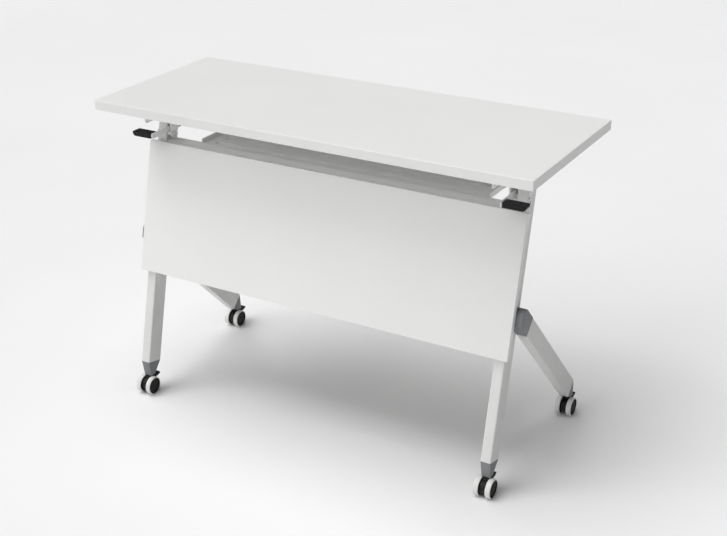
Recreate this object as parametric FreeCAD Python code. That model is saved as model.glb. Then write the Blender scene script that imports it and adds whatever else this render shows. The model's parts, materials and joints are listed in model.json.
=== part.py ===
import FreeCAD, Part
import math
import os

# Folding training table on four twin-wheel castors. Millimetres, X along the table,
# Y from the panel side to the sitting side, Z up from the floor.

# Work surface
top_length = 1080.0
top_depth = 440.0
table_height = 750.0
board_thick = 22.0
band_thick = 1.5
band_corner = 3.0
band_edge = 0.8

# Rectangular leg tube, shared by main and rear legs
tube_width = 25.0
tube_depth = 45.0
tube_wall = 1.5
tube_corner = 3.0

# Main legs lean their feet towards the panel side
leg_inset = 79.0
leg_lean = 12.8
beam_y = -64.0
beam_drop = 114.0
leg_rise = 78.0
foot_top = 82.0
cap_thick = 3.0
cap_plug = 12.0
plug_length = 24.0

# Rear legs slope back from a joint on the outside of each main leg
rear_slope = 45.0
joint_drop = 218.0
joint_reach = 37.0
joint_round = 18.0
joint_nose = 6.0
rear_foot_top = 75.0
rear_foot_back = 7.0
joint_bolt_dia = 8.0
joint_bolt_pitch = 28.0
joint_bolt_depth = 15.0
joint_head_dia = 13.0
joint_head = 5.0

# Cross beam
beam_dia = 38.0
beam_wall = 2.0

# Modesty panel on the front faces of the main legs
panel_over = 22.5
panel_height = 318.0
panel_thick = 15.0
panel_rise = 8.0
panel_corner = 2.0
panel_screw_dia = 6.0
panel_screw_depth = 10.0
panel_screw_inset = 40.0
panel_head_dia = 10.0
panel_head = 3.5

# Tilt arms turn on a shoulder bolt at the head of each main leg
pivot_y = -70.0
pivot_drop = 83.0
pivot_dia = 10.0
pivot_head_dia = 18.0
pivot_head = 2.5
pivot_sleeve = 12.0
hub_radius = 11.0
arm_thick = 4.0
arm_front = 11.0
arm_rear = 18.0
arm_neck = 48.0
arm_flange_width = 30.0
arm_flange = 3.0
arm_nose = 101.0
stop_width = 28.0
stop_drop = 30.0
stop_round = 4.0
arm_tail = 150.0
arm_gusset = 60.0
arm_lip = 12.0
arm_gap = 3.5
arm_round = 20.0
lip_round = 5.0
armpit_round = 6.0
notch_width = 7.0
notch_depth = 4.0
notch_rise = 27.0

# Release levers on the inside of the main legs
lever_thick = 4.0
lever_gap = 5.0
lever_pin_dia = 8.0
lever_pin_drop = 68.0
lever_eye = 8.0
lever_front = -143.0
lever_drop = 77.0
lever_height = 12.5
lever_tang = 42.0
tang_height = 8.0
stud_dia = 6.0
stud_rise = 12.0
latch_gap = 0.5
collar_dia = 12.0
pin_tip = 1.0
lever_round = 1.0

# Hand grips on the lever ends
grip_length = 52.0
grip_depth = 25.0
grip_height = 12.0
grip_toe = 8.5
grip_heel = 3.0
grip_round = 1.5
grip_cover = 3.0
grip_gap = 1.0
grip_edge = 1.0

# Book shelf under the top
shelf_inset = 88.0
shelf_front = -43.0
shelf_rear = 150.0
shelf_drop = 107.0
shelf_sheet = 1.2
shelf_side = 13.0
shelf_back = 22.0
rib_count = 5
rib_first = 24.0
rib_pitch = 38.0
rib_width = 14.0
rib_depth = 6.0
rib_margin = 22.0
hanger_front = 30.0
hanger_rear = 140.0
hanger_sheet = 1.5
hanger_flange = 20.0
hanger_round = 8.0

# Wood screws up into the board
screw_dia = 4.0
screw_head_dia = 9.0
screw_head = 2.5
screw_grip = 14.0

# Castors
wheel_radius = 22.5
tyre_width = 12.5
tyre_round = 1.5
tyre_groove = 0.5
tyre_depth = 2.2
hub_dish = 1.2
hub_rim = 2.0
hub_cap = 2.0
wheel_spacing = 28.5
wheel_play = 0.6
trail = 9.0
axle_dia = 6.0
axle_gap = 0.3
hood_gap = 5.5
stem_dia = 8.0
stem_up = 14.0
stem_down = 20.0
collar_radius = 10.0
collar_height = 1.0
collar_lift = 0.3
swivel_gap = 0.3
foot_bottom_width = 22.0
foot_bottom_depth = 16.0
neck_front = 9.0
neck_rear = 16.0
neck_width = 14.0
neck_low = 6.0
neck_chin = 4.0
neck_brow = 2.0
pedal_y = 12.0
pedal_drop = 6.0
pedal_reach = 27.0
pedal_width = 20.0
pedal_thick = 5.5
pedal_tip = 3.0
pedal_pin_dia = 3.0
pedal_lug = 3.2
pedal_cheek = 2.6
pedal_gap = 1.6
pedal_play = 0.2
pedal_round = 2.0
cheek_step = 0.5

# Clearances
fit = 0.05
seat = 0.1

# Derived places
lean = math.radians(leg_lean)
slope = math.radians(rear_slope)
under = table_height - board_thick
leg_x = top_length / 2 - leg_inset
beam_z = under - beam_drop
pivot_z = under - pivot_drop
lever_pin_y = pivot_y + arm_rear + latch_gap + lever_pin_dia / 2
lever_pin_z = under - lever_pin_drop
lever_bottom = under - lever_drop
shelf_z = under - shelf_drop
shelf_length = 2 * (leg_x - shelf_inset)
panel_length = 2 * (leg_x + panel_over)
hub_cover_radius = wheel_radius - tyre_depth
hood_radius = wheel_radius - hood_gap
hub_half = tyre_width / 2 - wheel_play
hub_face = hub_half - hub_dish
hub_bore_end = hub_face - hub_cap
leg_in = leg_x - tube_width / 2
leg_out = leg_x + tube_width / 2
rear_x = leg_x + tube_width
collar_z = 2 * wheel_radius + collar_lift
foot_z = collar_z + collar_height + swivel_gap
joint_y = beam_y - joint_drop * math.tan(lean)
joint_z = beam_z - joint_drop
leg_drop = (beam_z - foot_top) / math.cos(lean)
front_stem_y = beam_y - (beam_z - foot_z) * math.tan(lean)
rear_end = (rear_foot_top - joint_z) / math.cos(slope)
rear_corner_y = joint_y - rear_end * math.sin(slope) + tube_depth / 2 * math.cos(slope)
rear_stem_y = rear_corner_y + rear_foot_back - foot_bottom_depth / 2
lever_out = leg_in - lever_gap
lever_in = lever_out - lever_thick
arm_out = lever_in - arm_gap
arm_in = arm_out - arm_thick
tang_z = lever_bottom + (lever_height - tang_height) / 2
y_front = front_stem_y - trail - wheel_radius
y_rear = rear_stem_y + pedal_reach
y_mid = (y_front + y_rear) / 2
x_axis = FreeCAD.Vector(1, 0, 0)


def vec(x, y, z):
    return FreeCAD.Vector(x, y, z)


def rounded_wire(corners, radii):
    # closed wire through corner points in one plane, each corner rounded by its own radius
    count = len(corners)
    starts = []
    ends = []
    mids = []
    for i, corner in enumerate(corners):
        before = (corners[i - 1] - corner).normalize()
        after = (corners[(i + 1) % count] - corner).normalize()
        half = before.getAngle(after) / 2
        back = radii[i] / math.tan(half)
        starts.append(corner + before * back)
        ends.append(corner + after * back)
        inward = (before + after).normalize()
        mids.append(corner + inward * (radii[i] / math.sin(half) - radii[i]))
    edges = []
    for i in range(count):
        if radii[i] > 0:
            edges.append(Part.Arc(starts[i], mids[i], ends[i]).toShape())
        if ends[i].distanceToPoint(starts[(i + 1) % count]) > 0.001:
            edges.append(Part.LineSegment(ends[i], starts[(i + 1) % count]).toShape())
    return Part.Wire(edges)


def plate(points, radii, x0, x1):
    # outline in the YZ plane, extruded along X
    corners = [vec(x0, y, z) for y, z in points]
    return Part.Face(rounded_wire(corners, radii)).extrude(vec(x1 - x0, 0, 0))


def section(width, depth, corner):
    w = width / 2
    d = depth / 2
    corners = [vec(-w, -d, 0), vec(w, -d, 0), vec(w, d, 0), vec(-w, d, 0)]
    return rounded_wire(corners, [corner] * 4)


def bar(width, depth, corner, z0, z1):
    shape = Part.Face(section(width, depth, corner)).extrude(vec(0, 0, z1 - z0))
    shape.translate(vec(0, 0, z0))
    return shape


def pin_x(dia, x0, x1, y, z):
    return Part.makeCylinder(dia / 2, x1 - x0, vec(x0, y, z), x_axis)


def pin_y(dia, y0, y1, x, z):
    return Part.makeCylinder(dia / 2, y1 - y0, vec(x, y0, z), vec(0, 1, 0))


def pin_z(dia, z0, z1, x, y):
    return Part.makeCylinder(dia / 2, z1 - z0, vec(x, y, z0))


def lean_place(x, y, z, angle):
    return FreeCAD.Placement(vec(x, y, z), FreeCAD.Rotation(x_axis, angle))


def main_place(x):
    # local Z runs up the main leg from the beam's axis, local Y towards the sitting side
    return lean_place(x, beam_y, beam_z, -leg_lean)


def rear_place(x):
    # local Z runs up the rear leg from the joint's middle
    return lean_place(x, joint_y, joint_z, rear_slope)


def moved(shape, placement):
    shape = shape.copy()
    shape.transformShape(placement.toMatrix())
    return shape


def mirrored(shape):
    return shape.mirror(vec(0, 0, 0), x_axis)


def save(name, shapes):
    group = shapes if isinstance(shapes, list) else [shapes]
    solids = [solid for shape in group for solid in shape.Solids]
    shape = solids[0] if len(solids) == 1 else Part.makeCompound(solids)
    shape = shape.copy()
    shape.translate(vec(0, -y_mid, 0))
    shape.exportStep("parts/" + name + ".step")


def save_pair(name, shape):
    save(name + "_right", shape)
    save(name + "_left", mirrored(shape))


def save_both(name, shapes):
    save(name, shapes + [mirrored(shape) for shape in shapes])


def joint_bolt_points():
    for step in (-0.5, 0.5):
        along = step * joint_bolt_pitch
        yield joint_y + along * math.sin(lean), joint_z + along * math.cos(lean)


def panel_screw_heights():
    top = panel_rise - panel_screw_inset
    return top, panel_rise - panel_height + panel_screw_inset


def tube(z0, z1):
    outer = bar(tube_width, tube_depth, tube_corner, z0, z1)
    inner_corner = max(tube_corner - tube_wall, 0.2)
    bore = bar(tube_width - 2 * tube_wall, tube_depth - 2 * tube_wall, inner_corner, z0 - 1, z1 + 1)
    return outer.cut(bore)


def plug(z0, z1):
    play = 2 * (tube_wall + seat)
    corner = max(tube_corner - tube_wall - seat, 0.2)
    return bar(tube_width - play, tube_depth - play, corner, z0, z1)


def main_leg():
    leg = tube(-leg_drop, leg_rise)
    for height in panel_screw_heights():
        leg = leg.cut(pin_y(panel_screw_dia + 2 * fit, -tube_depth, tube_depth, 0, height))
    leg = moved(leg, main_place(leg_x))
    leg = leg.cut(pin_x(pivot_dia + 2 * fit, leg_in - 1, leg_out + 1, pivot_y, pivot_z))
    leg = leg.cut(pin_x(lever_pin_dia + 2 * fit, leg_in - 1, leg_x, lever_pin_y, lever_pin_z))
    for y, z in joint_bolt_points():
        leg = leg.cut(pin_x(joint_bolt_dia + 2 * fit, leg_in - 1, leg_out + 1, y, z))
    return leg


def leg_cap():
    cover = bar(tube_width, tube_depth, tube_corner, leg_rise, leg_rise + cap_thick)
    return moved(cover.fuse(plug(leg_rise - cap_plug, leg_rise)), main_place(leg_x))


def foot(placement, tube_end, stem_x, stem_y):
    # tapered foot from the tube's end down to a level seat for the castor stem
    upper = section(tube_width, tube_depth, tube_corner)
    upper.translate(vec(0, 0, tube_end))
    upper = moved(upper, placement)
    lower = section(foot_bottom_width, foot_bottom_depth, tube_corner)
    lower.translate(vec(stem_x, stem_y, foot_z))
    body = Part.makeLoft([upper, lower], True, True)
    body = body.fuse(moved(plug(tube_end, tube_end + plug_length), placement))
    return body.cut(pin_z(stem_dia + 2 * fit, foot_z, foot_z + stem_up + fit, stem_x, stem_y))


def rear_joint():
    # rounded block outside the main leg; its front follows the leg's front face
    half = tube_depth / 2
    turn = slope + lean
    upper = (half + half * math.cos(turn)) / math.sin(turn)
    lower = (half - half * math.cos(turn)) / math.sin(turn)
    outline = [(-half, -joint_reach), (half, -joint_reach), (half, upper), (-half, lower)]
    block = plate(outline, [0, 0, joint_round, joint_nose], -tube_width / 2, tube_width / 2)
    block = block.fuse(plug(-joint_reach - plug_length, -joint_reach))
    block = moved(block, rear_place(rear_x))
    for y, z in joint_bolt_points():
        reach = joint_bolt_depth + seat
        block = block.cut(pin_x(joint_bolt_dia + 2 * fit, leg_out - 1, leg_out + reach, y, z))
    return block


def joint_bolts():
    bolts = []
    for y, z in joint_bolt_points():
        head = pin_x(joint_head_dia, leg_in - joint_head, leg_in, y, z)
        bolts.append(head.fuse(pin_x(joint_bolt_dia, leg_in, leg_out + joint_bolt_depth, y, z)))
    return bolts


def panel():
    low = panel_rise - panel_height
    front = -tube_depth / 2 - panel_thick
    corners = [vec(-panel_length / 2, front, low), vec(panel_length / 2, front, low),
               vec(panel_length / 2, front, panel_rise), vec(-panel_length / 2, front, panel_rise)]
    board = Part.Face(rounded_wire(corners, [panel_corner] * 4)).extrude(vec(0, panel_thick, 0))
    for side in (-leg_x, leg_x):
        for height in panel_screw_heights():
            back = -tube_depth / 2
            start = back - panel_screw_depth - seat
            board = board.cut(pin_y(panel_screw_dia + 2 * fit, start, back, side, height))
    return moved(board, main_place(0))


def panel_screws():
    screws = []
    back = tube_depth / 2
    for height in panel_screw_heights():
        shank = pin_y(panel_screw_dia, -back - panel_screw_depth, back, 0, height)
        head = pin_y(panel_head_dia, back, back + panel_head, 0, height)
        screws.append(moved(shank.fuse(head), main_place(leg_x)))
    return screws


def beam():
    outer = pin_x(beam_dia, -leg_in, leg_in, beam_y, beam_z)
    return outer.cut(pin_x(beam_dia - 2 * beam_wall, -leg_in - 1, leg_in + 1, beam_y, beam_z))


def pivot_bolt():
    head = pin_x(pivot_head_dia, arm_in - seat - pivot_head, arm_in - seat, pivot_y, pivot_z)
    shank = pin_x(pivot_dia, arm_in - seat, leg_out, pivot_y, pivot_z)
    sleeve = pin_x(pivot_sleeve, arm_out + seat, leg_in, pivot_y, pivot_z)
    end = pin_x(pivot_head_dia, leg_out, leg_out + pivot_head, pivot_y, pivot_z)
    return head.fuse(shank).fuse(sleeve).fuse(end)


def arm_screw_places():
    x = arm_in - arm_flange_width / 2
    low = pivot_y - arm_nose + arm_flange_width / 2
    high = pivot_y + arm_tail - arm_flange_width / 2
    return [(x, low + (high - low) * step / 3) for step in range(4)]


def hanger_screw_places():
    x = shelf_length / 2 + hanger_sheet + hanger_flange / 2
    return [(x, hanger_front + hanger_flange), (x, hanger_rear - hanger_flange)]


def tilt_arm():
    # pressed bracket: web with an eye at the pivot, a waisted neck, a stop at the nose and a top flange
    neck = pivot_z + arm_neck
    lip = under - arm_lip
    nose = pivot_y - arm_nose
    stop = under - stop_drop
    points = [(pivot_y - arm_front, pivot_z), (pivot_y - arm_front, neck), (pivot_y - arm_gusset, lip),
              (nose + stop_width, lip), (nose + stop_width, stop), (nose, stop), (nose, under),
              (pivot_y + arm_tail, under),
              (pivot_y + arm_tail, lip), (pivot_y + arm_gusset + arm_rear, lip), (pivot_y + arm_rear, neck),
              (pivot_y + arm_rear, pivot_z + arm_front)]
    radii = [0, arm_round, arm_round, stop_round, stop_round, stop_round, 0, 0, lip_round, arm_round, arm_round,
             armpit_round]
    web = plate(points, radii, arm_in, arm_out)
    web = web.fuse(pin_x(2 * hub_radius, arm_in, arm_out, pivot_y, pivot_z))
    flange = Part.makeBox(arm_flange_width + arm_thick, arm_nose + arm_tail, arm_flange,
                          vec(arm_in - arm_flange_width, pivot_y - arm_nose, under - arm_flange))
    web = web.fuse(flange).removeSplitter()
    web = web.cut(pin_x(pivot_dia + 2 * fit, arm_in - 1, arm_out + 1, pivot_y, pivot_z))
    notch_z = pivot_z + notch_rise
    notch = Part.makeBox(arm_thick + 2, notch_depth + 1, notch_width,
                         vec(arm_in - 1, pivot_y + arm_rear - notch_depth, notch_z - notch_width / 2))
    web = web.cut(notch)
    for x, y in arm_screw_places():
        web = web.cut(pin_z(screw_dia + 2 * fit, under - arm_flange - 1, under + 1, x, y))
    return web


def lever_pin():
    shank = pin_x(lever_pin_dia, arm_in - pin_tip, leg_in + tube_wall, lever_pin_y, lever_pin_z)
    return shank.fuse(pin_x(collar_dia, lever_out + seat, leg_in, lever_pin_y, lever_pin_z))


def lever():
    # flat bar with an eye, a latch stud behind it and a bent tang for the grip
    top = lever_bottom + lever_height
    stud_z = lever_pin_z + stud_rise
    stud_y = pivot_y + arm_rear + latch_gap + stud_dia / 2
    half = lever_eye
    points = [(lever_front, lever_bottom), (lever_pin_y + half, lever_bottom),
              (lever_pin_y + half, stud_z + half), (stud_y - half, stud_z + half),
              (stud_y - half, top), (lever_front, top)]
    turn = half - lever_round
    radii = [lever_round, turn, turn, turn - lever_round, lever_round, lever_round]
    body = plate(points, radii, lever_in, lever_out)
    tang_start = vec(lever_in, lever_front, tang_z)
    tang = Part.makeBox(lever_tang + lever_thick, lever_thick, tang_height, tang_start)
    stud = pin_x(stud_dia, arm_in, lever_in, stud_y, stud_z)
    body = body.fuse(tang).fuse(stud)
    return body.cut(pin_x(lever_pin_dia + 2 * fit, lever_in - 1, lever_out + 1, lever_pin_y, lever_pin_z))


def grip():
    x0 = lever_out + grip_gap
    x1 = x0 + grip_length
    y0 = lever_front - grip_cover
    z0 = lever_bottom + lever_height / 2 - grip_height / 2
    z1 = z0 + grip_height
    corners = [vec(x0, y0, z0), vec(x1, y0, z0), vec(x1, y0, z1), vec(x0, y0, z1)]
    outline = rounded_wire(corners, [grip_edge, grip_toe, grip_heel, grip_edge])
    body = Part.Face(outline).extrude(vec(0, grip_depth, 0))
    rims = [edge for edge in body.Edges if abs(edge.BoundBox.YLength) < 0.001]
    body = body.makeFillet(grip_round, rims)
    slot = Part.makeBox(lever_tang + seat, lever_thick + 2 * seat, tang_height + 2 * seat,
                        vec(lever_out, lever_front - seat, tang_z - seat))
    return body.cut(slot)


def board():
    size_x = top_length - 2 * band_thick
    size_y = top_depth - 2 * band_thick
    core = bar(size_x, size_y, max(band_corner - band_thick, 0.2), under, table_height)
    for x, y in arm_screw_places() + hanger_screw_places():
        for side in (-x, x):
            core = core.cut(pin_z(screw_dia + 2 * fit, under, under + screw_grip + seat, side, y))
    return core


def edge_band():
    ring = bar(top_length, top_depth, band_corner, under, table_height)
    rims = [edge for edge in ring.Edges if edge.BoundBox.ZLength < 0.001]
    ring = ring.makeChamfer(band_edge, rims)
    size_x = top_length - 2 * band_thick
    size_y = top_depth - 2 * band_thick
    return ring.cut(bar(size_x, size_y, max(band_corner - band_thick, 0.2), under - 1, table_height + 1))


def wood_screw(x, y, z):
    head = Part.makeCone(screw_head_dia / 2 - 1, screw_head_dia / 2, screw_head, vec(x, y, z - screw_head))
    return head.fuse(pin_z(screw_dia, z, under + screw_grip, x, y))


def top_screws():
    screws = [wood_screw(x, y, under - arm_flange) for x, y in arm_screw_places()]
    return screws + [wood_screw(x, y, under - hanger_sheet) for x, y in hanger_screw_places()]


def rib(y, lift):
    # pressed trough with sloping sides and ends
    wires = []
    for depth, inset in ((0.0, 0.0), (rib_depth, rib_depth / 2)):
        half_x = shelf_length / 2 - rib_margin - inset
        half_y = rib_width / 2 - inset
        z = shelf_z - depth + lift
        wires.append(Part.makePolygon([vec(-half_x, y - half_y, z), vec(half_x, y - half_y, z),
                                       vec(half_x, y + half_y, z), vec(-half_x, y + half_y, z),
                                       vec(-half_x, y - half_y, z)]))
    return Part.makeLoft(wires, True, True)


def shelf():
    depth = shelf_rear - shelf_front
    half = shelf_length / 2
    tray = Part.makeBox(shelf_length, depth, shelf_sheet, vec(-half, shelf_front, shelf_z))
    for x in (-half, half - shelf_sheet):
        tray = tray.fuse(Part.makeBox(shelf_sheet, depth, shelf_side, vec(x, shelf_front, shelf_z)))
    back = vec(-half, shelf_rear - shelf_sheet, shelf_z)
    tray = tray.fuse(Part.makeBox(shelf_length, shelf_sheet, shelf_back, back))
    for i in range(rib_count):
        y = shelf_front + rib_first + i * rib_pitch
        tray = tray.fuse(rib(y, 0.0))
        tray = tray.cut(rib(y, shelf_sheet))
    return tray.removeSplitter()


def shelf_hanger():
    x0 = shelf_length / 2
    points = [(hanger_front, shelf_z), (hanger_rear, shelf_z), (hanger_rear, under), (hanger_front, under)]
    ear = plate(points, [hanger_round, hanger_round, 0, 0], x0, x0 + hanger_sheet)
    flange = Part.makeBox(hanger_flange + hanger_sheet, hanger_rear - hanger_front, hanger_sheet,
                          vec(x0, hanger_front, under - hanger_sheet))
    ear = ear.fuse(flange).removeSplitter()
    for x, y in hanger_screw_places():
        ear = ear.cut(pin_z(screw_dia + 2 * fit, under - hanger_sheet - 1, under + 1, x, y))
    return ear


def castor_body():
    # hood between the wheels, with a narrower neck round the stem that carries the pedal's pin
    width = wheel_spacing - tyre_width - 2 * wheel_play
    hood = pin_x(2 * hood_radius, -width / 2, width / 2, -trail, wheel_radius)
    points = [(-neck_front, wheel_radius), (neck_rear, wheel_radius + neck_low),
              (neck_rear, collar_z), (-neck_front, collar_z)]
    hood = hood.fuse(plate(points, [0, neck_chin, neck_brow, 0], -neck_width / 2, neck_width / 2))
    hood = hood.fuse(pin_z(2 * collar_radius, collar_z, collar_z + collar_height, 0, 0))
    hood = hood.cut(pin_z(stem_dia + 2 * fit, foot_z - stem_down - fit, foot_z, 0, 0))
    hood = hood.cut(pin_x(axle_dia + 2 * fit, -width, width, -trail, wheel_radius))
    return hood.cut(pin_x(pedal_pin_dia + 2 * fit, -width, width, pedal_y, collar_z - pedal_drop))


def castor_stem():
    return pin_z(stem_dia, foot_z - stem_down, foot_z + stem_up, 0, 0)


def axle():
    # ends short of the blind bores in the hubs
    half = wheel_spacing / 2 + hub_bore_end - axle_gap
    return pin_x(axle_dia, -half, half, -trail, wheel_radius)


def wheel_ring(profile):
    # closed outline of (x, radius) pairs turned about the axle
    wire = Part.makePolygon([vec(x, 0, r) for x, r in profile + profile[:1]])
    ring = Part.Face(wire).revolve(vec(0, 0, 0), x_axis, 360)
    ring.translate(vec(0, -trail, wheel_radius))
    return ring


def tyre():
    w = tyre_width / 2
    r = wheel_radius
    c = tyre_round
    g = tyre_groove
    inner = hub_cover_radius
    profile = [(-w, inner), (w, inner), (w, r - c), (w - c, r), (g, r), (0, r - g), (-g, r), (c - w, r),
               (-w, r - c)]
    return wheel_ring(profile)


def hub():
    w = hub_half
    bore = axle_dia / 2 + fit
    edge = hub_cover_radius - fit
    rim = edge - hub_rim
    profile = [(-w, bore), (hub_bore_end, bore), (hub_bore_end, 0), (hub_face, 0), (hub_face, rim - hub_dish),
               (w, rim), (w, edge), (-w, edge)]
    return wheel_ring(profile)


def pedal():
    # foot pedal hinged on the neck, two cheeks outside the neck and one pin through it
    z = collar_z - pedal_drop
    cheek_in = neck_width / 2 + pedal_play
    half = pedal_width / 2
    low = z - pedal_thick / 2
    high = z + pedal_thick / 2
    root = neck_rear + pedal_gap
    points = [(root, low), (pedal_reach, low + pedal_tip), (pedal_reach, high + pedal_tip), (root, high)]
    shape = plate(points, [0, pedal_round, pedal_round, 0], -half, half)
    for side in (-1, 1):
        x0, x1 = sorted((side * cheek_in, side * (cheek_in + pedal_cheek)))
        cheek = Part.makeBox(x1 - x0, root - pedal_y + 1, 2 * (pedal_lug - cheek_step),
                             vec(x0, pedal_y, z - pedal_lug + cheek_step))
        shape = shape.fuse(cheek).fuse(pin_x(2 * pedal_lug, x0, x1, pedal_y, z))
    reach = cheek_in + pedal_cheek
    return shape.fuse(pin_x(pedal_pin_dia, -reach, reach, pedal_y, z)).removeSplitter()


def save_castor(name, x, y):
    pieces = {"body": castor_body(), "axle": axle(), "pedal": pedal()}
    for side, place in (("outer", 1), ("inner", -1)):
        offset = place * wheel_spacing / 2
        turn = 0 if place > 0 else 180
        for part_name, shape in (("tyre", tyre()), ("hub", hub())):
            shape.rotate(vec(0, -trail, wheel_radius), vec(0, 0, 1), turn)
            shape.translate(vec(offset, 0, 0))
            pieces[side + "_" + part_name] = shape
    for piece, shape in pieces.items():
        if x < 0:
            shape = mirrored(shape)
        shape.translate(vec(x, y, 0))
        save("castor_" + name + "_" + piece, shape)


def main():
    os.makedirs("parts", exist_ok=True)
    front_end = -leg_drop
    save_pair("main_leg", main_leg())
    save_pair("rear_leg", moved(tube(rear_end, -joint_reach), rear_place(rear_x)))
    save_pair("rear_joint", rear_joint())
    save_pair("front_foot", foot(main_place(leg_x), front_end, leg_x, front_stem_y))
    save_pair("rear_foot", foot(rear_place(rear_x), rear_end, rear_x, rear_stem_y))
    save_both("leg_caps", [leg_cap()])
    save_both("joint_bolts", joint_bolts())
    save("cross_beam", beam())
    save("modesty_panel", panel())
    save_both("panel_screws", panel_screws())
    save_both("pivot_bolts", [pivot_bolt()])
    save_both("lever_pins", [lever_pin()])
    save("top_board", board())
    save("edge_band", edge_band())
    save_pair("tilt_arm", tilt_arm())
    save("book_shelf", shelf())
    save_pair("shelf_hanger", shelf_hanger())
    save_both("top_screws", top_screws())
    save_pair("lever", lever())
    save_pair("grip", grip())
    stems = []
    for x, y in ((leg_x, front_stem_y), (rear_x, rear_stem_y)):
        stem = castor_stem()
        stem.translate(vec(x, y, 0))
        stems.append(stem)
    save_both("castor_stems", stems)
    save_castor("front_right", leg_x, front_stem_y)
    save_castor("front_left", -leg_x, front_stem_y)
    save_castor("rear_right", rear_x, rear_stem_y)
    save_castor("rear_left", -rear_x, rear_stem_y)


main()
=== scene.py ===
import bpy
import bmesh
import json
import math
from mathutils import Vector, Matrix


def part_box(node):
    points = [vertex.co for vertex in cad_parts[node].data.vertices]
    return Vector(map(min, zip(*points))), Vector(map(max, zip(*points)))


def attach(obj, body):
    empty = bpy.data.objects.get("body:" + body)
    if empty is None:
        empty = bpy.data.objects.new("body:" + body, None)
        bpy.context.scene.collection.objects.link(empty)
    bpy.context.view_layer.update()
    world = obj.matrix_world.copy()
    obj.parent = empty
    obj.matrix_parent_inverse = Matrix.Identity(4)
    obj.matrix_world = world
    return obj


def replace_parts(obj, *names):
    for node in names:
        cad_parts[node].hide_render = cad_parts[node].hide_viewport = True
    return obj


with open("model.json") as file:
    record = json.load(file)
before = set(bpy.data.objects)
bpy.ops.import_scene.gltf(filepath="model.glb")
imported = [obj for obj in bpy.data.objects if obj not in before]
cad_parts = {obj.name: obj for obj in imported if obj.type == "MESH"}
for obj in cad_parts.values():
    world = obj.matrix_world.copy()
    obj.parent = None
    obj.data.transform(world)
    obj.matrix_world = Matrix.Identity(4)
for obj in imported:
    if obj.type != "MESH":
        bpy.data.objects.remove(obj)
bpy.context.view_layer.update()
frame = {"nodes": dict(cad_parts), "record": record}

mmPerM = 1000.0  # settings are in millimetres unless they say otherwise, meshes in metres
samePoint = 1e-6  # metres within which two points are merged
print("stage: frame loaded,", len(frame["nodes"]), "nodes")


def srgb(code):
    # hex colour to the linear values that shaders read
    parts = [int(code[i:i + 2], 16) / 255 for i in (1, 3, 5)]
    linear = [c / 12.92 if c <= 0.04045 else ((c + 0.055) / 1.055) ** 2.4 for c in parts]
    return (*linear, 1.0)


def addNode(tree, kind, settings=None, links=None):
    # one node: settings go on its sockets, links join (node, output) to an input
    node = tree.nodes.new(kind)
    for name, value in (settings or {}).items():
        node.inputs[name].default_value = value
    for name, (source, output) in (links or {}).items():
        tree.links.new(source.outputs[output], node.inputs[name])
    return node


def perMetre(millimetres):
    # noise scale that gives features about this far apart
    return mmPerM / millimetres


def surface(name, look):
    # shared layout: broad tone drift, fine grain for roughness and bump
    material = bpy.data.materials.new(name)
    material.use_nodes = True
    tree = material.node_tree
    tree.nodes.clear()
    place = addNode(tree, "ShaderNodeTexCoord")
    drift = addNode(tree, "ShaderNodeTexNoise", {"Scale": perMetre(look["driftMm"]), "Detail": 3.0},
                    {"Vector": (place, "Object")})
    grain = addNode(tree, "ShaderNodeTexNoise",
                    {"Scale": perMetre(look["grainMm"]), "Detail": 4.0, "Roughness": 0.6},
                    {"Vector": (place, "Object")})
    tone = addNode(tree, "ShaderNodeValToRGB", links={"Fac": (drift, "Fac")})
    tone.color_ramp.elements[0].position = 0.3
    tone.color_ramp.elements[1].position = 0.7
    tone.color_ramp.elements[0].color = srgb(look["dark"])
    tone.color_ramp.elements[1].color = srgb(look["light"])
    rough = addNode(tree, "ShaderNodeMapRange", {"To Min": look["rough"][0], "To Max": look["rough"][1]},
                    {"Value": (grain, "Fac")})
    bump = addNode(tree, "ShaderNodeBump",
                   {"Strength": look["bump"], "Distance": look["bumpMm"] / mmPerM},
                   {"Height": (grain, "Fac")})
    shader = addNode(tree, "ShaderNodeBsdfPrincipled",
                     {"Metallic": look.get("metal", 0.0), "IOR": look.get("ior", 1.5)},
                     {"Base Color": (tone, "Color"), "Roughness": (rough, "Result"),
                      "Normal": (bump, "Normal")})
    addNode(tree, "ShaderNodeOutputMaterial", links={"Surface": (shader, "BSDF")})
    return material


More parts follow.
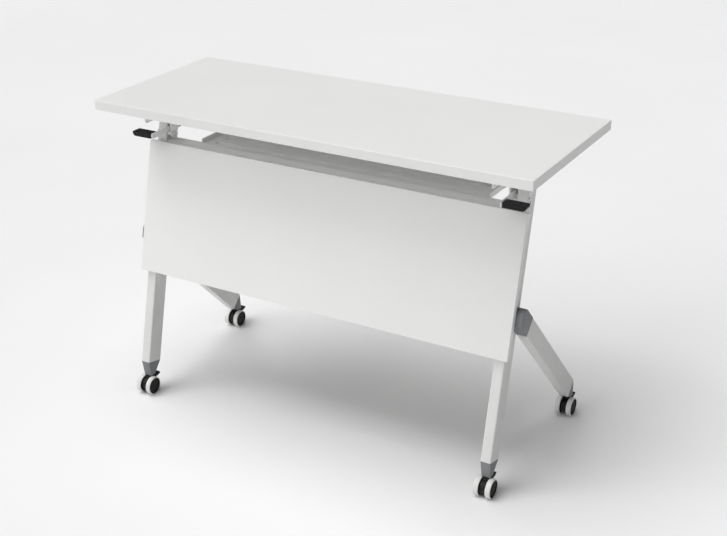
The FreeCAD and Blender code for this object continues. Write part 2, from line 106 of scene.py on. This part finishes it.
# moulded, pressed and plated grain is finer in life: it is drawn as coarse as it needs to show
finishes = {
    # melamine faced board: pressed paper film, smooth and slightly pearled
    "melamineWhite": surface("melamine_white", {
        "dark": "#ececeb", "light": "#eeeeed", "driftMm": 180, "grainMm": 1.6,
        "rough": (0.38, 0.5), "bump": 0.12, "bumpMm": 0.05, "ior": 1.5}),
    # extruded ABS edge band: plain, a little glossier than the face
    "absBand": surface("abs_edge_band", {
        "dark": "#e2e2e1", "light": "#e8e8e7", "driftMm": 120, "grainMm": 1.2,
        "rough": (0.32, 0.42), "bump": 0.08, "bumpMm": 0.03, "ior": 1.53}),
    # powder coat on steel tube: even colour with a fine orange peel
    "powderCoat": surface("powder_coat_pale", {
        "dark": "#dbdbda", "light": "#e1e1e0", "driftMm": 90, "grainMm": 2.2,
        "rough": (0.36, 0.5), "bump": 0.22, "bumpMm": 0.08, "ior": 1.5}),
    # powder coat on pressed sheet: same paint, painted a little whiter as painted light, to offset the
    # shade that the board casts on the tray
    "sheetCoatLightened": surface("powder_coat_sheet_lightened", {
        "dark": "#e6e6e5", "light": "#ebebea", "driftMm": 80, "grainMm": 2.0,
        "rough": (0.4, 0.52), "bump": 0.22, "bumpMm": 0.08, "ior": 1.5}),
    # glass filled nylon, moulded: mid grey with a spark eroded texture
    "nylonGrey": surface("moulded_nylon_grey", {
        "dark": "#7a7c7e", "light": "#838587", "driftMm": 40, "grainMm": 0.9,
        "rough": (0.5, 0.66), "bump": 0.3, "bumpMm": 0.06, "ior": 1.53}),
    # black nylon, moulded: nearly black with a soft sheen
    "nylonBlack": surface("moulded_nylon_black", {
        "dark": "#101010", "light": "#171718", "driftMm": 30, "grainMm": 0.8,
        "rough": (0.5, 0.66), "bump": 0.28, "bumpMm": 0.05, "ior": 1.36}),
    # soft polyurethane tread: pale, matt, faintly dusty
    "treadPale": surface("polyurethane_tread", {
        "dark": "#dcdcda", "light": "#e8e8e6", "driftMm": 14, "grainMm": 0.7,
        "rough": (0.55, 0.7), "bump": 0.2, "bumpMm": 0.05, "ior": 1.49}),
    # zinc plate on mild steel: grey metal with fine cloudy passivation
    "zincSteel": surface("zinc_plated_steel", {
        "dark": "#a9abad", "light": "#c3c4c6", "driftMm": 6, "grainMm": 0.6,
        "rough": (0.28, 0.42), "bump": 0.12, "bumpMm": 0.02, "metal": 1.0}),
}
# the tray's slot takes the copy of the powder coat that is painted whiter against the shade under the
# board
finishOfSlot = {
    "board_laminate": "melamineWhite", "panel_laminate": "melamineWhite", "edge_plastic": "absBand",
    "leg_paint": "powderCoat", "bracket_paint": "powderCoat", "shelf_paint": "sheetCoatLightened",
    "foot_nylon": "nylonGrey", "castor_nylon": "nylonBlack", "pedal_nylon": "nylonBlack",
    "castor_hub": "nylonBlack", "grip_plastic": "nylonBlack", "castor_tread": "treadPale",
    "zinc_steel": "zincSteel",
}
slotOfNode = {part["node"]: part["material_slot"] for part in frame["record"]["subparts"]}
bodies = frame["record"]["behaviour"]["bodies"]
bodyOfNode = {node: body for body, nodes in bodies.items() for node in nodes}


def finishOf(node):
    return finishes[finishOfSlot[slotOfNode[node]]]


for node, obj in frame["nodes"].items():
    if not obj.material_slots:
        obj.data.materials.append(finishOf(node))
    for slot in obj.material_slots:
        slot.material = finishOf(node)
print("stage: finishes on nodes")

shading = {"flatFromMm2": 60.0, "smoothDeg": 35}


def finished(name, bm, node):
    # a bmesh becomes a piece with a node's finish and body; large plane faces stay flat
    mesh = bpy.data.meshes.new(name)
    bm.normal_update()
    bm.to_mesh(mesh)
    bm.free()
    for face in mesh.polygons:
        face.use_smooth = face.area < shading["flatFromMm2"] / mmPerM ** 2
    mesh.set_sharp_from_angle(angle=math.radians(shading["smoothDeg"]))
    mesh.materials.append(finishOf(node))
    obj = bpy.data.objects.new(name, mesh)
    bpy.context.scene.collection.objects.link(obj)
    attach(obj, bodyOfNode[node])
    return obj


def roundOff(bm, edges, width, segments):
    # widths here are taken to fit, and the overlap limit would follow the shortest edge of the whole piece
    bmesh.ops.bevel(bm, geom=edges, offset=width / mmPerM, offset_type="OFFSET", segments=segments,
                    profile=0.5, affect="EDGES", clamp_overlap=False, material=-1)


def corners(node):
    # lowest and highest corner of a node
    return [Vector(corner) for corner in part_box(node)]


socket = {
    "nodes": ("pivot_bolts", "joint_bolts", "panel_screws"),
    "inset": 0.62,  # share of the head's radius that stays round the socket
    "deep": 2.2,
    "leastMm2": 50.0, "leastSides": 11, "leastRound": 0.95,  # what counts as the end of a head
}


def driveSockets(bm):
    # round drive socket pressed into each bolt head: full discs only, not the rings behind the heads
    for face in list(bm.faces):
        middle = face.calc_center_median()
        spans = [(v.co - middle).length for v in face.verts]
        isDisc = len(spans) >= socket["leastSides"] and min(spans) >= socket["leastRound"] * max(spans)
        if not isDisc or face.calc_area() < socket["leastMm2"] / mmPerM ** 2:
            continue
        inward = -face.normal
        bmesh.ops.inset_individual(bm, faces=[face], thickness=max(spans) * socket["inset"])
        pushed = bmesh.ops.extrude_discrete_faces(bm, faces=[face])["faces"]
        bmesh.ops.translate(bm, vec=inward * (socket["deep"] / mmPerM), verts=pushed[0].verts)


# edges of moulded, sawn and welded pieces are never sharp
easing = {
    # width by the start of a node's name
    "widths": {
        "main_leg": 0.5, "rear_leg": 0.5, "rear_joint": 1.2, "front_foot": 1.2, "tilt_arm": 0.5,
        "lever_": 0.5, "modesty_panel": 0.6, "leg_caps": 0.6, "shelf_hanger": 0.25,
        "pivot_bolts": 0.8, "joint_bolts": 0.8, "panel_screws": 0.6, "castor": 0.2,
    },
    # ends of names that keep their CAD edges or are made further on
    "leftOut": ("_tyre", "_hub", "_axle", "_stems", "_pins", "_pedal"),
    "segments": 3,
    "flatDeg": 1.0,
    "sharpDeg": 40,
}


def easedEdges(node, width):
    bm = bmesh.new()
    bm.from_mesh(frame["nodes"][node].data)
    bmesh.ops.remove_doubles(bm, verts=bm.verts, dist=samePoint)
    bmesh.ops.dissolve_limit(bm, angle_limit=math.radians(easing["flatDeg"]), verts=bm.verts,
                             edges=bm.edges)
    if node in socket["nodes"]:
        driveSockets(bm)
    # inner corners stay square, clear of the pieces that seat or turn there
    sharp = [e for e in bm.edges if len(e.link_faces) == 2 and e.is_convex
             and e.calc_face_angle() > math.radians(easing["sharpDeg"])]
    roundOff(bm, sharp, width, easing["segments"])
    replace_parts(finished("eased_" + node, bm, node), node)


for node in list(frame["nodes"]):
    for start, width in easing["widths"].items():
        if node.startswith(start) and not node.endswith(easing["leftOut"]):
            easedEdges(node, width)
print("stage: eased edges")


def merged(bm):
    # closes the seams and poles of a full spin and turns its faces outwards
    bmesh.ops.remove_doubles(bm, verts=bm.verts, dist=samePoint)
    bmesh.ops.recalc_face_normals(bm, faces=bm.faces)
    return bm


def spun(profile, centre, steps):
    # (x, radius) outline spun about the wheel's axle; it is a closed loop unless it starts on the axle
    bm = bmesh.new()
    verts = [bm.verts.new(centre + Vector((x, 0, r)) / mmPerM) for x, r in profile]
    first = 0 if profile[0][1] > 0 else 1
    edges = [bm.edges.new((verts[i - 1], verts[i])) for i in range(first, len(verts))]
    bmesh.ops.spin(bm, geom=verts + edges, cent=centre, axis=(1, 0, 0), angle=math.tau, steps=steps,
                   use_merge=True)
    return merged(bm)


def wheelSize(node):
    # middle of a wheel piece in metres, half its width and its radius in millimetres
    low, high = corners(node)
    return (low + high) / 2, (high.x - low.x) / 2 * mmPerM, (high.z - low.z) / 2 * mmPerM


tread = {
    "deep": 2.2, "shoulder": 1.4,
    "groove": 0.35, "grooveWide": 0.5, "grooveAt": 2.1,
    "eased": 0.45, "easedSegments": 2,
    "margin": 0.1,  # slack for telling the shoulders' rings from other edges
    "steps": 72,
}


def groovedTread(node):
    # two shallow grooves round the tread, and shoulders that are rounded off
    centre, halfWide, radius = wheelSize(node)
    inner = radius - tread["deep"]
    shoulder = radius - tread["shoulder"]
    profile = [(-halfWide, inner), (-halfWide, shoulder), (-halfWide + tread["shoulder"], radius)]
    for at in (-tread["grooveAt"], tread["grooveAt"]):
        profile += [(at - tread["grooveWide"], radius), (at, radius - tread["groove"]),
                    (at + tread["grooveWide"], radius)]
    profile += [(halfWide - tread["shoulder"], radius), (halfWide, shoulder), (halfWide, inner)]
    bm = spun(profile, centre, tread["steps"])
    pastGrooves = tread["grooveAt"] + tread["grooveWide"] + tread["margin"]
    shoulderEdges = []
    for edge in bm.edges:
        offs = [(v.co - centre) * mmPerM for v in edge.verts]
        (x, r), (otherX, otherR) = [(off.x, math.hypot(off.y, off.z)) for off in offs]
        aroundAxle = math.hypot(x - otherX, r - otherR) < tread["margin"]
        if aroundAxle and abs(x) > pastGrooves and r > inner + tread["margin"]:
            shoulderEdges.append(edge)
    roundOff(bm, shoulderEdges, tread["eased"], tread["easedSegments"])
    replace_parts(finished("tread_" + node, bm, node), node)


hubFace = {"rim": 1.6, "dish": 1.2, "slope": 0.6, "boss": 6.0, "bossRise": 0.5, "bore": 3.05, "cap": 2.0,
           "steps": 64}


def dishedHub(node):
    # disc with a rim, a dished face and a low boss; a blind bore takes the axle from the other side
    centre, halfWide, radius = wheelSize(node)
    out = 1.0 if ("outer" in node) == ("right" in node) else -1.0
    face = out * halfWide
    dished = face - out * hubFace["dish"]
    boss = dished + out * hubFace["bossRise"]
    boreEnd = dished - out * hubFace["cap"]
    rim = radius - hubFace["rim"]
    profile = [(boreEnd, 0), (boreEnd, hubFace["bore"]), (-face, hubFace["bore"]), (-face, radius),
               (face, radius), (face, rim), (dished, rim - hubFace["slope"]),
               (dished, hubFace["boss"] + hubFace["slope"]), (boss, hubFace["boss"]), (boss, 0)]
    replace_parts(finished("hub_face_" + node, spun(profile, centre, hubFace["steps"]), node), node)


for node in list(frame["nodes"]):
    if node.endswith("_tyre"):
        groovedTread(node)
    if node.endswith("_hub"):
        dishedHub(node)
print("stage: wheels")


def edgesOf(verts):
    return list(dict.fromkeys(e for v in verts for e in v.link_edges))


barEdge = {"share": 0.25, "segments": 2}  # share of the bar's least size


def bar(bm, centre, size, turn=0.0):
    # small box with eased edges, turned about X
    made = bmesh.ops.create_cube(bm, size=1.0)["verts"]
    bmesh.ops.scale(bm, vec=Vector(size) / mmPerM, verts=made)
    bmesh.ops.rotate(bm, cent=(0, 0, 0), matrix=Matrix.Rotation(turn, 3, "X"), verts=made)
    bmesh.ops.translate(bm, vec=centre, verts=made)
    roundOff(bm, edgesOf(made), min(size) * barEdge["share"], barEdge["segments"])


pedalRib = {
    "at": (0.59, 0.725, 0.86),  # shares of the pedal's length
    "rise": 3.0 / 9.4,  # slope of the pedal's top
    "wide": 1.0, "tall": 0.7, "margin": 2.0,
}


def pedalRibs(node):
    # anti-slip ribs across the pedal's top, along its slope
    low, high = corners(node)
    bm = bmesh.new()
    size = ((high.x - low.x) * mmPerM - 2 * pedalRib["margin"], pedalRib["wide"], pedalRib["tall"])
    for share in pedalRib["at"]:
        y = low.y + (high.y - low.y) * share
        z = high.z - (high.y - y) * pedalRib["rise"]
        bar(bm, Vector(((low.x + high.x) / 2, y, z)), size, math.atan(pedalRib["rise"]))
    finished("ribs_" + node, bm, node)


weld = {"radius": 1.6, "fromEnd": 0.64, "sides": 10, "steps": 48}


def weldBeads(node):
    # round bead where the beam meets each leg
    low, high = corners(node)
    bm = bmesh.new()
    beamAxis = Vector((0, (low.y + high.y) / 2, (low.z + high.z) / 2))
    fromEnd = weld["fromEnd"] / mmPerM
    for x in (low.x + fromEnd, high.x - fromEnd):
        loop = bmesh.ops.create_circle(bm, cap_ends=False, segments=weld["sides"],
                                       radius=weld["radius"] / mmPerM)["verts"]
        bmesh.ops.rotate(bm, cent=(0, 0, 0), matrix=Matrix.Rotation(math.pi / 2, 3, "X"), verts=loop)
        bmesh.ops.translate(bm, vec=beamAxis + Vector((x, 0, (high.z - low.z) / 2)), verts=loop)
        bmesh.ops.spin(bm, geom=loop + edgesOf(loop), cent=beamAxis, axis=(1, 0, 0), angle=math.tau,
                       steps=weld["steps"], use_merge=True)
    finished("weld_beads", merged(bm), node)


hem = {"tall": 2.6, "thick": 2.0, "middleUp": 6.6, "shorterBy": 0.2}


def shelfHem(node):
    # folded hem along the tray's front edge
    low, high = corners(node)
    bm = bmesh.new()
    centre = Vector(((low.x + high.x) / 2, low.y + hem["thick"] / 2 / mmPerM,
                     low.z + hem["middleUp"] / mmPerM))
    bar(bm, centre, ((high.x - low.x) * mmPerM - hem["shorterBy"], hem["thick"], hem["tall"]))
    finished("shelf_hem", bm, node)


for node in list(frame["nodes"]):
    if node.endswith("_pedal"):
        pedalRibs(node)
    if node == "cross_beam":
        weldBeads(node)
    if node == "book_shelf":
        shelfHem(node)
print("stage: ribs, welds and hems")

# camera fitted to the photograph; its place is in metres, with y from the middle of the board
view = {"focalPx": 1262.4, "photoWidePx": 727.0, "sensor": 36.0, "yaw": 29.475, "pitch": 24.251,
        "at": (1.3669, -2.3421, 1.5846)}
boardLow, boardHigh = corners("top_board")
camera = bpy.data.cameras.new("photo_camera")
camera.sensor_width = view["sensor"]
camera.lens = view["focalPx"] * view["sensor"] / view["photoWidePx"]
cameraObj = bpy.data.objects.new("photo_camera", camera)
cameraObj.location = Vector(view["at"]) + Vector((0, (boardLow.y + boardHigh.y) / 2, 0))
cameraObj.rotation_euler = (math.radians(90 - view["pitch"]), 0, math.radians(view["yaw"]))
bpy.context.scene.collection.objects.link(cameraObj)
bpy.context.scene.camera = cameraObj

studio = {
    "floorHalf": 60.0,  # metres
    "horizon": 0.65, "zenith": 0.03, "fadeAt": 0.18,  # brightness of the sky, and where its band ends
    # strength and direction
    "suns": {"key_light": (1.4, (0.45, 0.65, -0.61)), "top_light": (2.3, (0.2, 0.1, -0.97))},
    "sunSpreadDeg": 50,
}
bpy.context.scene.view_settings.view_transform = "Standard"
bm = bmesh.new()
bmesh.ops.create_grid(bm, x_segments=2, y_segments=2, size=studio["floorHalf"])
floorMesh = bpy.data.meshes.new("studio_floor")
bm.to_mesh(floorMesh)
bm.free()
# painted floor: matt and nearly white
floorMesh.materials.append(surface("painted_floor", {
    "dark": "#eeeeee", "light": "#f1f1f1", "driftMm": 900, "grainMm": 4.0,
    "rough": (0.7, 0.85), "bump": 0.02, "bumpMm": 0.05}))
floor = bpy.data.objects.new("studio_floor", floorMesh)
bpy.context.scene.collection.objects.link(floor)

world = bpy.data.worlds.new("studio")
world.use_nodes = True
sky = world.node_tree
sky.nodes.clear()
# pale band along the horizon, so that low views have no dark edge behind the floor
direction = addNode(sky, "ShaderNodeTexCoord")
height = addNode(sky, "ShaderNodeSeparateXYZ", links={"Vector": (direction, "Generated")})
band = addNode(sky, "ShaderNodeMapRange",
               {"From Min": 0.0, "From Max": studio["fadeAt"],
                "To Min": studio["horizon"], "To Max": studio["zenith"]},
               {"Value": (height, "Z")})
glow = addNode(sky, "ShaderNodeBackground", {"Color": srgb("#ffffff")}, {"Strength": (band, "Result")})
addNode(sky, "ShaderNodeOutputWorld", links={"Surface": (glow, "Background")})
bpy.context.scene.world = world

# wide suns: even light on the whole floor with soft shadows
for name, (strength, towards) in studio["suns"].items():
    light = bpy.data.lights.new(name, "SUN")
    light.energy = strength
    light.angle = math.radians(studio["sunSpreadDeg"])
    sun = bpy.data.objects.new(name, light)
    sun.rotation_euler = Vector(towards).to_track_quat("-Z", "Y").to_euler()
    bpy.context.scene.collection.objects.link(sun)
print("stage: camera and studio")
